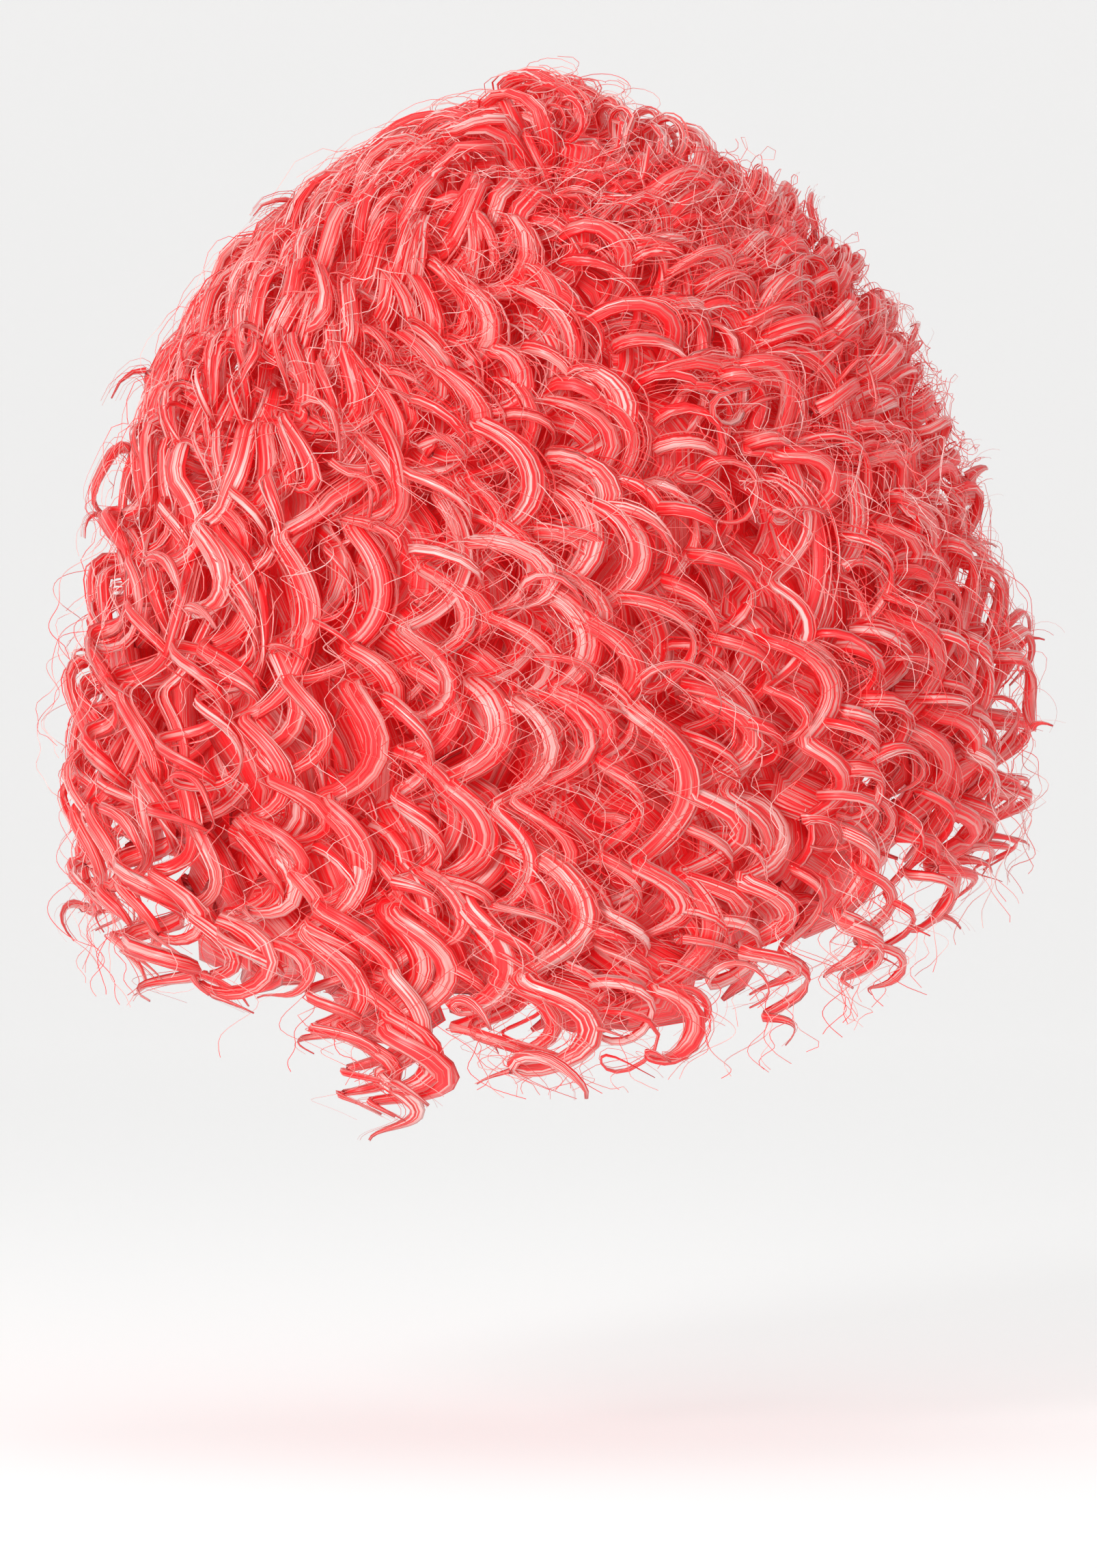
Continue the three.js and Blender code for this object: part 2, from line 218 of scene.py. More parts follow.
def inside_hair(points):
    level = (hair_rise - points[..., 2]) / (hair_rise + hem_drop)
    width = hair_half_width * np.interp(level, FORM_PLACES, FORM_WIDTH)
    back = hair_back * np.interp(level, FORM_PLACES, FORM_BACK)
    front = hair_front * np.interp(level, FORM_PLACES, FORM_FRONT)
    depth = np.where(points[..., 1] < 0, back, front)
    across = points[..., 0] / np.maximum(width, tiny)
    inward = points[..., 1] / np.maximum(depth, tiny)
    return (across**2 + inward**2 < 1) & (level > 0)


def distance_to(inside, origin, ray):
    """How far each ray runs before it leaves the form that the function inside describes."""
    near = np.zeros(ray.shape[:-1])
    far = np.full(ray.shape[:-1], 2 * (hair_half_width + hair_back))
    for _ in range(halvings):
        middle = (near + far) / 2
        within = inside(origin + ray * middle[..., None])
        near = np.where(within, middle, near)
        far = np.where(within, far, middle)
    return near


hair_centre = np.array([0, 0, -hang_level])
hair_whorl = unit(on_cap(0.0, 0.0, hair_body) - hair_centre)


def hair_way(turn):
    """The direction in which the way's arc ends, its arc's length and the length of its fall."""
    drop = np.interp(turn, hem_table[:, 0], hem_table[:, 1])
    end = heading(turn, np.arctan2(hair_front, np.maximum(0, hang_level - drop)))
    arc = np.arccos((hair_whorl * end).sum(-1)) * (hair_rise + hang_level)
    fall = np.maximum(0, drop - hang_level)
    return end, arc, fall


def hair_ray(turn, run):
    """Origins and directions of the rays for arrays of turns and of runs along their ways."""
    turn, run = np.broadcast_arrays(turn, run)
    end, arc, fall = hair_way(turn)
    along = run * (arc + fall)
    ray = arc_between(np.broadcast_to(hair_whorl, end.shape), end, np.clip(along / arc, 0, 1))
    origin = np.broadcast_to(hair_centre, ray.shape).copy()
    origin[..., 2] -= np.maximum(0, along - arc)
    return origin, ray, along


def nearest_run(turn, points):
    runs = np.linspace(0, 1, 101)
    origin, ray, _ = hair_ray(turn[:, None], runs)
    miss = np.linalg.norm(np.cross(points[:, None, :] - origin, ray), axis=-1)
    return runs[miss.argmin(1)]


print("whorl direction:", hair_whorl.round(2))

# %% [markdown]
# ## One tube, thousands of times
# Strands and locks are all bent tubes. The tube is modelled once with bmesh operators: a cone with
# equal ends whose long edges are subdivided. Each copy then takes the template's faces and only bends
# its points along a path, and the copies are joined from arrays. That gives one light mesh a weft,
# where thousands of curve objects would be slow. The tubes are closed, with their faces outwards, and
# three-sided ones are flat shaded. The UV map is in real lengths, so streaks are as fine on all tubes.

# %% The tube template and the joining
fibre_pitch = 0.8 * MM
streak_length = 70 * MM


def tube_template(sides, rings):
    bm = bmesh.new()
    bmesh.ops.create_cone(bm, cap_ends=True, segments=sides, radius1=1, radius2=1, depth=1)
    upright = [e for e in bm.edges if abs(e.verts[0].co.z - e.verts[1].co.z) > 0.5]
    bmesh.ops.subdivide_edges(bm, edges=upright, cuts=rings - 2, use_grid_fill=True)
    bm.verts.ensure_lookup_table()
    height = np.array([v.co.z + 0.5 for v in bm.verts])
    angle = np.array([math.atan2(v.co.y, v.co.x) for v in bm.verts])
    loops, sizes, around = [], [], []
    for face in bm.faces:
        corners = [v.index for v in face.verts]
        shares = [(angle[i] / math.tau) % 1 for i in corners]
        if max(shares) - min(shares) > 0.5:
            shares = [s + 1 if s < 0.4 else s for s in shares]
        loops += corners
        sizes.append(len(corners))
        around += shares
    bm.free()
    return {
        "ring": np.rint(height * (rings - 1)).astype(int),
        "angle": angle,
        "side": np.rint(angle / math.tau * sides).astype(int) % sides,
        "loops": np.array(loops),
        "sizes": np.array(sizes),
        "around": np.array(around),
    }


def square_axes(paths, outward):
    """For each point of each path, the two directions that are square to the path."""
    tangent = unit(np.gradient(paths, axis=1))
    out = unit(outward - tangent * (outward * tangent).sum(-1, keepdims=True))
    return np.cross(out, tangent), out


def joined_tubes(paths, across, out, half_wide, half_deep, tint, sides, ridges=None):
    """Arrays of a mesh that joins one tube for each path, with ridges along it where asked."""
    count, rings, _ = paths.shape
    template = tube_template(sides, rings)
    ring = template["ring"]
    ridge = np.ones((count, len(ring))) if ridges is None else ridges[:, template["side"]]
    wide = np.cos(template["angle"]) * half_wide[:, ring] * ridge
    deep = np.sin(template["angle"]) * half_deep[:, ring] * ridge
    points = paths[:, ring] + across[:, ring] * wide[..., None] + out[:, ring] * deep[..., None]
    starts = np.arange(count)[:, None] * len(ring)
    length = np.linalg.norm(np.diff(paths, axis=1), axis=-1).sum(1, keepdims=True)
    girth = math.pi * (half_wide.mean(1) + half_deep.mean(1))[:, None]
    along = ring[template["loops"]] / (rings - 1)
    uv = np.stack([template["around"] * girth / fibre_pitch, along * length / streak_length], -1)
    return {
        "points": points.reshape(-1, 3),
        "loops": (starts + template["loops"]).ravel(),
        "sizes": np.tile(template["sizes"], count),
        "uv": uv.reshape(-1, 2),
        "tint": np.repeat(tint, len(ring)),
        "flat": np.full(count * len(template["sizes"]), sides == 3),
    }


def triangle_count(parts):
    return sum(int((part["sizes"] - 2).sum()) for part in parts)


def mesh_piece(name, parts, material):
    """One object from joined arrays, with its UV map and its tint from strand to strand."""
    mesh = bpy.data.meshes.new(name)
    offsets = np.cumsum([0] + [len(part["points"]) for part in parts])
    points = np.concatenate([part["points"] for part in parts])
    loops = np.concatenate([part["loops"] + offset for part, offset in zip(parts, offsets)])
    sizes = np.concatenate([part["sizes"] for part in parts])
    mesh.vertices.add(len(points))
    mesh.vertices.foreach_set("co", points.astype(np.float32).ravel())
    mesh.loops.add(len(loops))
    mesh.loops.foreach_set("vertex_index", loops.astype(np.int32))
    mesh.polygons.add(len(sizes))
    loop_starts = np.concatenate([[0], np.cumsum(sizes)[:-1]])
    mesh.polygons.foreach_set("loop_start", loop_starts.astype(np.int32))
    mesh.update(calc_edges=True)
    mesh.shade_smooth()
    flat = mesh.attributes.new("sharp_face", "BOOLEAN", "FACE")
    flat.data.foreach_set("value", np.concatenate([part["flat"] for part in parts]))
    uv_map = mesh.uv_layers.new(name="strand")
    places = np.concatenate([part["uv"] for part in parts])
    uv_map.uv.foreach_set("vector", places.astype(np.float32).ravel())
    tint = mesh.attributes.new("tint", "FLOAT", "POINT")
    tints = np.concatenate([part["tint"] for part in parts])
    tint.data.foreach_set("value", tints.astype(np.float32))
    mesh.materials.append(material)
    piece = bpy.data.objects.new(name, mesh)
    bpy.context.scene.collection.objects.link(piece)
    print(name, "has", triangle_count(parts), "triangles")
    return piece


# %% [markdown]
# ## Shader expressions
# A material is easier to read as a formula than as a list of nodes. This small class wraps a number
# socket, so that adding or multiplying it makes the Math nodes, and any other node comes from one
# method that sets the node's options first and then its sockets.

# %% A wrapped socket and a finish


class Value:
    def __init__(self, finish, socket):
        self.finish = finish
        self.socket = socket

    def math(self, operation, left, right):
        return self.finish.node("ShaderNodeMath", {"operation": operation}, {0: left, 1: right})

    def __add__(self, other):
        return self.math("ADD", self, other)

    def __mul__(self, other):
        return self.math("MULTIPLY", self, other)

    __radd__ = __add__
    __rmul__ = __mul__


class Finish:
    """A material with one Principled shader, whose constants are set on its own sockets."""

    def __init__(self, name, **constants):
        self.material = bpy.data.materials.new(name)
        self.material.use_nodes = True
        self.tree = self.material.node_tree
        self.shader = next(n for n in self.tree.nodes if n.type == "BSDF_PRINCIPLED")
        for socket, value in constants.items():
            self.shader.inputs[socket.replace("_", " ").title().replace("Ior", "IOR")].default_value = value

    def fill(self, socket, value):
        if isinstance(value, Value):
            self.tree.links.new(value.socket, socket)
        else:
            socket.default_value = value

    def node(self, kind, settings=None, inputs=None, output=0):
        made = self.tree.nodes.new(kind)
        for key, value in (settings or {}).items():
            if key == "stops":
                ramp = made.color_ramp
                while len(ramp.elements) < len(value):
                    ramp.elements.new(0.5)
                for element, (place, colour) in zip(ramp.elements, value):
                    element.position = place
                    element.color = (*colour, 1)
            else:
                setattr(made, key, value)
        for key, value in (inputs or {}).items():
            self.fill(made.inputs[key], value)
        return Value(self, made.outputs[output])

    def mix_colour(self, factor, first, second):
        return self.node("ShaderNodeMix", {"data_type": "RGBA"}, {0: factor, 6: first, 7: second}, 2)

    def noise(self, place, scale, detail, roughness=0.5):
        inputs = {"Vector": place, "Scale": scale, "Detail": detail, "Roughness": roughness}
        return self.node("ShaderNodeTexNoise", None, inputs)

    def bump(self, height, strength, distance):
        inputs = {"Strength": strength, "Distance": distance, "Height": height}
        return self.node("ShaderNodeBump", None, inputs)

    def range(self, value, low, high, to_low=0.0, to_high=1.0, kind="SMOOTHSTEP"):
        inputs = {0: value, 1: low, 2: high, 3: to_low, 4: to_high}
        return self.node("ShaderNodeMapRange", {"interpolation_type": kind}, inputs)

    def set(self, socket, value):
        self.fill(self.shader.inputs[socket], value)


print("shader helper ready")

# %% [markdown]
# ## The hair's finish
# Synthetic hair is glossy, and each fibre has one colour from root to tip, a little lighter or darker
# than its neighbour. A single fibre is far thinner than a modelled strand, so the shader adds fine
# streaks that run along each tube: noise stretched along the UV map, in the colour and in the bump.
# The pale pink end of the colours is partly fibre tone and partly a painted highlight, and a faint red
# glow is painted in to lift the shade between the locks.

# %% Hair material


def hair_finish():
    # the faint red emission is a painted glow: it lifts the shade between the locks to a bright red
    hair = Finish("hair_fibre", roughness=0.38, specular_ior_level=0.7, emission_strength=0.12)
    hair.set("Emission Color", (0.95, 0.02, 0.025, 1))
    coords = hair.node("ShaderNodeUVMap", {"uv_map": "strand"})
    tint = hair.node("ShaderNodeAttribute", {"attribute_name": "tint"}, output="Fac")
    around = hair.node("ShaderNodeSeparateXYZ", None, {0: coords}, 0)
    along = hair.node("ShaderNodeSeparateXYZ", None, {0: coords}, 1)

    def fibres(around_scale, along_scale, tint_scale, detail, roughness=0.5):
        """Noise that is stretched along a tube and differs from one tube to the next."""
        axes = {0: around * around_scale, 1: along * along_scale, 2: tint * tint_scale}
        return hair.noise(hair.node("ShaderNodeCombineXYZ", None, axes), 1.0, detail, roughness)

    streak = fibres(1.0, 1.0, 57.0, detail=2.0, roughness=0.7)
    patch = fibres(0.2, 0.9, 31.0, detail=1.0)
    relief = fibres(1.0, 0.4, 23.0, detail=1.0)
    contrast = hair.range(streak, 0.415, 0.585, kind="LINEAR")
    shade = hair.range(contrast * 1.1 + patch * 0.35 + tint * 0.5, 0.48, 1.63, kind="LINEAR")
    # deep red to pale pink: the pale end is partly fibre tone and partly a painted highlight
    stops = [
        (0.0, (0.9, 0.011, 0.017)),
        (0.25, (0.81, 0.04, 0.042)),
        (0.5, (0.75, 0.118, 0.106)),
        (0.75, (0.77, 0.31, 0.285)),
        (1.0, (0.83, 0.6, 0.57)),
    ]
    hair.set("Base Color", hair.node("ShaderNodeValToRGB", {"stops": stops}, {0: shade}))
    hair.set("Roughness", hair.range(relief, 0.3, 0.7, 0.42, 0.26))
    hair.set("Normal", hair.bump(relief, 1.0, 0.7 * MM))
    return hair.material


HAIR = hair_finish()
print("hair material nodes:", len(HAIR.node_tree.nodes))

# %% [markdown]
# ## Kinds of lock
# The photographed wig has three sizes of curl side by side: broad flat waves, ringlets, and thin
# wisps. Each winds the same way, as a left-handed helix, because the fibres were all set on rods that
# turned one way. In a wave the strands lie side by side and swing together, so the lock is wide at
# each bend and narrow between bends. In a ringlet they coil about one axis, like a ribbon on a rod.

# %% Tables of lock kinds and of wefts
lock_kinds = {
    # millimetres: half width and half depth of the bundle, swing aside, roll in and out, length of
    # one curl; shares of the locks on the left and on the right; the tuft's half width and half
    # depth; strands in one lock
    "wave": {"wide": 7.6, "deep": 3.0, "swing": 9.2, "roll": 4.8, "curl": 39, "coil": 0, "left": 0.72,
             "right": 0.4, "tuft": (4.6, 2.1), "strands": 14},
    "ringlet": {"wide": 4.4, "deep": 1.8, "swing": 9.5, "roll": 7.5, "curl": 32, "coil": 1, "left": 0.18,
                "right": 0.42, "tuft": (2.8, 1.3), "strands": 8},
    "wisp": {"wide": 2.2, "deep": 1.4, "swing": 8.0, "roll": 7.5, "curl": 26, "coil": 1, "left": 0.1,
             "right": 0.18, "tuft": (1.1, 0.8), "strands": 4},
    "inner": {"wide": 6.0, "deep": 2.8, "swing": 8.0, "roll": 5.0, "curl": 44, "coil": 0,
              "tuft": (13.2, 3.4), "strands": 3},
}
weft_table = [
    # seat on the cap as a share from whorl to rim; ends of the locks at the back and over the brow, as
    # shares of their ways; millimetres in which they rise; numbers of outer and of inner locks
    {"node": "crown_swirl", "seat": 0.03, "back": 0.32, "brow": 0.46, "rise": 12, "outer": 54, "inner": 24},
    {"node": "upper_weft", "seat": 0.30, "back": 0.47, "brow": 0.64, "rise": 34, "outer": 64, "inner": 30},
    {"node": "middle_weft", "seat": 0.48, "back": 0.64, "brow": 0.80, "rise": 34, "outer": 68, "inner": 34},
    {"node": "lower_weft", "seat": 0.66, "back": 0.82, "brow": 0.93, "rise": 34, "outer": 72, "inner": 52},
    {"node": "nape_weft", "seat": 0.82, "back": 1.00, "brow": 1.00, "rise": 34, "outer": 84, "inner": 100},
]
weft_budget = 190_000
# turn, spread in turns and extra reach of the two lowest tufts, and the turns of the locks added to them
hem_tufts = ((-18.5, 4, 0.075), (-2, 3, 0.03))
tuft_turns = (-20.5, -19, -17.5, -16, -3, -1)
first_seed = 100
flyaways_each = 115
# swing and length, in millimetres, of the three curls that a flyaway adds up
flyaway_curls = ((8, 30), (6, 52), (2.5, 14))
flyaway_rings = 34
steps_per_curl = 13
inner_steps = 6
mean_way = 370 * MM
overlap = 0.14
shortest_lock = 0.12
hidden_rings = 0.3
hidden_swing = 0.4
swirl_turn = 15
strand_radius = 0.32 * MM
# how locks differ: their bulk and swing, how far they reach past their ends and how deep they lie
bulk_range = (0.6, 1.25)
swing_range = (0.65, 1.3)
last_reach = (-0.045, 0.025)
free_reach = (-0.02, 0.12)
inner_shortening = 0.04
outer_depths = (-0.02, 0.12)
inner_depths = (0.22, 0.6)
crown_sink = 3 * MM
thickest_body = 1.35 * hair_body
# the share of outer locks that flare at their ends, and by how many millimetres
flared_share = 0.3
flare_range = (6, 16)
wander_size = 7 * MM
# how the curls' phase changes from turn to turn, and drifts along the way
phase_per_turn = 0.04
phase_drift = 0.7
drift_length = 31 * MM
right_flyaways = 0.62
brow_flyaways = 0.12
# middle and spread of the tints, from 0 for deep red to 1 for pale
crown_shade = (0.26, 0.18)
tuft_shade = (0.42, 0.18)
# the inner locks are tinted deep red: painted shade in the gaps between the locks
inner_painted_shade = (0.12, 0.1)
# strands and flyaways are tinted pale: partly fibre tone, partly a painted highlight that lifts them out of
# the shade
strand_tone_and_highlight = (0.8, 0.25)
flyaway_tone_and_highlight = (0.95, 0.1)
print("lock kinds:", ", ".join(lock_kinds))

# %% [markdown]
# ## Where locks start and end
# For each weft the turns of its locks are spread evenly with a little scatter. A lock is bent at rings.
# They are sparse where the weft above hides it, so that the triangles go to the part that shows.

# %% Turns, ends and rings of the locks


def wrapped(turn):
    return (turn + 180) % 360 - 180


def tousled(turns):
    """How tousled the hair is at these turns, from 0 on the left to 1 on the right."""
    return smoothstep(-30, 50, turns)


def lock_turns(count, rng):
    """Turns for count locks: round the back from cheek to cheek, and over the brow."""
    brow_count = max(2, round(count * 1.3 * brow_turn / 180))
    back_count = count - brow_count
    back = np.linspace(-cheek_turn, cheek_turn, back_count) + rng.normal(0, 70 / count, back_count)
    front = 180 + np.linspace(-brow_turn, brow_turn, brow_count) + rng.normal(0, 50 / count, brow_count)
    return np.concatenate([np.clip(back, -cheek_turn, cheek_turn), wrapped(front)])


def lock_ends(weft, kind, turns, start, rng):
    """Where on their ways the locks end: further down in the lowest tufts, higher for inner locks."""
    last = weft["back"] == 1
    tip = np.where(np.abs(turns) > face_turn, weft["brow"], weft["back"])
    reach_on = rng.uniform(*(last_reach if last else free_reach), len(turns))
    if last and kind == "inner":
        reach_on = reach_on - inner_shortening
    elif last:
        for turn, width, far in hem_tufts:
            near = np.exp(-(((turns - turn) / width) ** 2))
            reach_on = mix(reach_on, np.maximum(reach_on, 0), near) + far * near
    return np.maximum(tip + reach_on, start + shortest_lock)


def hidden_share(above, start, end):
    """The share of their length that most of the locks have under the weft above."""
    if not above:
        return 0
    under = (above["back"] - overlap - start) / (end - start)
    return np.quantile(np.clip(under, 0, 0.8), 0.3)


def ring_shares(kind, covered, start, end):
    """Shares of a lock's length at which it has rings, with few of them where it is covered."""
    steps = inner_steps if kind == "inner" else steps_per_curl
    rings = int((end - start).mean() * mean_way / (lock_kinds[kind]["curl"] * MM) * steps)
    even = np.linspace(0, 1, rings)
    closer_at_end = mix(even, 1 - (1 - even) ** 2, 0.2)
    change = hidden_rings * covered / (1 - (1 - hidden_rings) * covered)
    return np.interp(closer_at_end, [0, change + tiny, 1], [0, covered, 1])


print("turns of 9 locks:", lock_turns(9, np.random.default_rng(first_seed)).round())

# %% [markdown]
# ## The path of a lock
# A lock starts on its track, rises through the hair to its layer, follows its way and ends in a loose
# curl. The phase of the curl comes from the length along the way, so neighbours swing together as
# combed curls do, with more scatter on the right, where the photographed wig is more tousled.

# %% Guides of the locks


def layer_depth(above, size, brow, deepness, run, body):
    """How deep under the outer form the locks lie, and deeper still where the weft above covers them."""
    depth = 0.62 * size["roll"] + size["deep"] + deepness[:, None] * body + (0 if above else crown_sink)
    if not above:
        return depth
    cover = np.where(brow, above["brow"], above["back"])
    lift = smoothstep(-overlap, 0.01, run - cover[:, None])
    return mix(np.maximum(0.6 * body, depth), depth, lift)


def curl_phase(above, last, turns, curl, along, share, rng):
    """Where each ring stands in its curl: with its neighbours, with some scatter, and more at the end."""
    scatter = rng.normal(0, 1, len(turns)) * mix(0.6 if above else 1.1, 1.5, tousled(turns))
    phase = math.tau * along / curl[:, None] + (phase_per_turn * turns + scatter)[:, None]
    phase = phase + phase_drift * np.sin(along / drift_length + np.radians(turns)[:, None] * 5)
    return phase + (3.2 if last else 2.4) * smoothstep(0.7, 1.0, share) ** 2


def lock_guides(weft, above, turns, kind, deepness, rng):
    """Middle lines of locks of one kind, with the directions and the phases of their curls."""
    count = len(turns)
    size = {key: lock_kinds[kind][key] * MM for key in ("wide", "deep", "swing", "roll", "curl")}
    bulk = rng.uniform(*bulk_range, count)[:, None]
    curl = size["curl"] * (1 + rng.normal(0, 1, count) * mix(0.09, 0.16, tousled(turns)))
    brow = np.abs(turns) > face_turn
    last = weft["back"] == 1
    seat = weft["seat"] + (0 if above else rng.uniform(0, 0.14, count))
    root = on_cap(turns, seat, track_lift)
    start = nearest_run(turns, root)
    end = lock_ends(weft, kind, turns, start, rng)
    covered = hidden_share(above, start, end)
    shares = ring_shares(kind, covered, start, end)
    share = np.broadcast_to(shares, (count, len(shares)))
    run = mix(start[:, None], end[:, None], share - 0.06 * smoothstep(0.86, 1.0, share))

    swirled = wrapped(turns[:, None] + swirl_turn * (1 - smoothstep(0, 0.2, run)))
    origin, ray, along = hair_ray(turns[:, None] if above else swirled, run)
    reach = distance_to(inside_hair, origin, ray)
    body = np.minimum(reach - distance_to(inside_head, origin, ray), thickest_body)
    depth = layer_depth(above, size, brow, deepness, run, body)
    flared = (rng.uniform(0, 1, count) < flared_share) * (deepness < inner_depths[0])
    flared = flared * rng.uniform(*flare_range, count) * MM
    depth = depth - (flared * ~brow)[:, None] * smoothstep(0.75, 1.0, share)
    place = origin + ray * (reach - depth)[..., None]
    travelled = along - along[:, :1]
    risen = smoothstep(0, weft["rise"] * MM, travelled)
    guide = mix(root[:, None, :], place, risen[..., None])
    onward = unit(np.gradient(guide, axis=1))
    across = unit(np.cross(ray, onward))
    out = np.cross(onward, across)
    wander = rng.uniform(0, math.tau, count)[:, None]
    guide = guide + across * (wander_size * np.sin(4.5 * share + wander) * risen)[..., None]

    phase = curl_phase(above, last, turns, curl, along, share, rng)
    grown = smoothstep(0, (20 if above else 8) * MM, travelled) * rng.uniform(*swing_range, count)[:, None]
    grown = grown * mix(1.0, 1.2, smoothstep(0.72, 1.0, share))
    grown = grown * mix(hidden_swing, 1, smoothstep(0, covered + tiny, share))
    upright = mix(1.75, 1.0, smoothstep(0.12, 0.5, run)) if kind == "wave" else 1
    narrow = mix(0.5 if above else 0.25, 1.0, smoothstep(0, 0.14 if above else 0.5, share))
    narrow = narrow * mix(1.0, 0.85 if last else 0.6, smoothstep(0.8, 1.0, share))
    return {
        "guide": guide,
        "across": across,
        "out": out,
        "onward": onward,
        "phase": phase,
        "share": share,
        "curl": curl,
        "swing": size["swing"] * grown,
        "roll": size["roll"] * grown * upright,
        "wide": size["wide"] * bulk * narrow,
        "deep": size["deep"] * bulk * narrow,
        "bulk": bulk,
        "coil": lock_kinds[kind]["coil"],
        "tousle": tousled(turns),
        "first": int(np.searchsorted(shares, covered)),
    }


def bundle(locks, lock, wide, deep):
    """Paths of the tufts or strands that lie at places (wide, deep) of their locks' sections."""
    coil = locks["coil"]
    curl = locks["curl"][lock][:, None] / math.tau
    phase = locks["phase"][lock]
    if coil:
        phase = phase + wide * locks["wide"][lock] / curl
    sine, cosine = np.sin(phase), np.cos(phase)
    radial = deep * locks["deep"][lock] * coil
    aside = (locks["swing"][lock] + radial) * sine + (1 - coil) * wide * locks["wide"][lock]
    outer = (locks["roll"][lock] + radial) * cosine + (1 - coil) * deep * locks["deep"][lock]
    lean = -0.55 * curl * cosine
    points = locks["guide"][lock]
    points = points + locks["across"][lock] * aside[..., None] + locks["out"][lock] * outer[..., None]
    points = points + locks["onward"][lock] * lean[..., None]
    outward = locks["out"][lock]
    if coil:
        outward = locks["across"][lock] * sine[..., None] + locks["out"][lock] * cosine[..., None]
    across, out = square_axes(points, outward)
    squash = np.abs((across * locks["across"][lock]).sum(-1)) if not coil else np.ones_like(sine)
    return points, across, out, squash


print("guides ready for", sum(weft["outer"] + weft["inner"] for weft in weft_table), "locks")

# %% [markdown]
# ## Tufts and strands
# A lock is filled with one flat tuft, which gives it body and cover, and dressed with thin strands,
# some of them loose. Both are the same tube with other sizes. Strands keep near their place in the
# lock but waver a little, so that no two are parallel all the way. Flyaways are single fibres that
# have left their lock and arch over the hair in curls of their own.

# %% Tubes of a weft


def shades(shade, count, rng):
    return np.clip(rng.normal(*shade, count), 0, 1)


def waver(count, share, amount, rng):
    first, second = rng.uniform(0, math.tau, (2, count, 1))
    return amount[:, None] * (np.sin(6 * share + first) + 0.6 * np.sin(14 * share + second))


def tuft_tubes(locks, size, shade, sides, rng):
    """One flat ridged tuft for each lock, round at its end and narrow at its root."""
    count = len(locks["guide"])
    share = locks["share"]
    wide = waver(count, share, np.full(count, 0.12), rng)
    deep = waver(count, share, np.full(count, 0.12), rng)
    points, across, out, squash = bundle(locks, np.arange(count), wide, deep)
    end = np.sqrt(np.clip(1.02 - smoothstep(0.8, 1.0, share) ** 2, 0, 1))
    root = mix(0.4, 1, smoothstep(0, 0.1, share))
    bulk = locks["bulk"] * (end * root) * MM
    tint = shades(shade, count, rng)
    half_wide = size[0] * bulk * mix(0.45, 1, squash)
    ridges = rng.uniform(0.72, 1.15, (count, sides))
    return joined_tubes(points, across, out, half_wide, size[1] * bulk, tint, sides, ridges)


def strand_tubes(locks, counts, rng):
    """Thin strands on the part of the locks that shows, counts of them on each lock."""
    lock = np.repeat(np.arange(len(counts)), counts)
    by_ring = [key for key, value in locks.items() if np.shape(value)[1:2] > (1,)]
    locks = locks | {key: locks[key][:, locks["first"]:] for key in by_ring}
    share = locks["share"][lock]
    loose = rng.uniform(0, 1, len(lock)) < mix(0.12, 0.3, locks["tousle"][lock])
    angle = rng.uniform(-0.2, math.pi + 0.2, len(lock))
    angle = np.where(rng.uniform(0, 1, len(lock)) < 0.8, angle, rng.uniform(0, math.tau, len(lock)))
    apart = rng.uniform(1.3, 2.4, len(lock))
    together = np.sqrt(rng.uniform(0.25, 1.3, len(lock)))
    spread = np.where(loose, apart, together)
    amount = np.where(loose, 0.5, 0.1)
    opening = 1 + np.where(loose, 0.8, 0.35)[:, None] * smoothstep(0.6, 1.0, share)
    wide = (np.cos(angle) * spread)[:, None] * opening + waver(len(lock), share, amount, rng)
    deep = (np.sin(angle) * spread)[:, None] * opening + waver(len(lock), share, amount, rng)
    points, across, out, _ = bundle(locks, lock, wide, deep)
    radius = strand_radius * np.where(loose, 0.5, rng.uniform(0.6, 1.3, len(lock)))[:, None]
    radius = radius * np.clip(1.1 - 0.9 * share**4, 0.25, 1)
    # the strands' pale tint is partly fibre tone and partly a painted highlight
    return joined_tubes(points, across, out, radius, radius, shades(strand_tone_and_highlight, len(lock), rng), sides=3)


def strand_triangles(locks, each):
    """Triangles of the strands of these locks, with six between two rings and one at each end."""
    rings = locks["share"].shape[1] - locks["first"]
    return len(locks["guide"]) * each * (6 * (rings - 1) + 2)


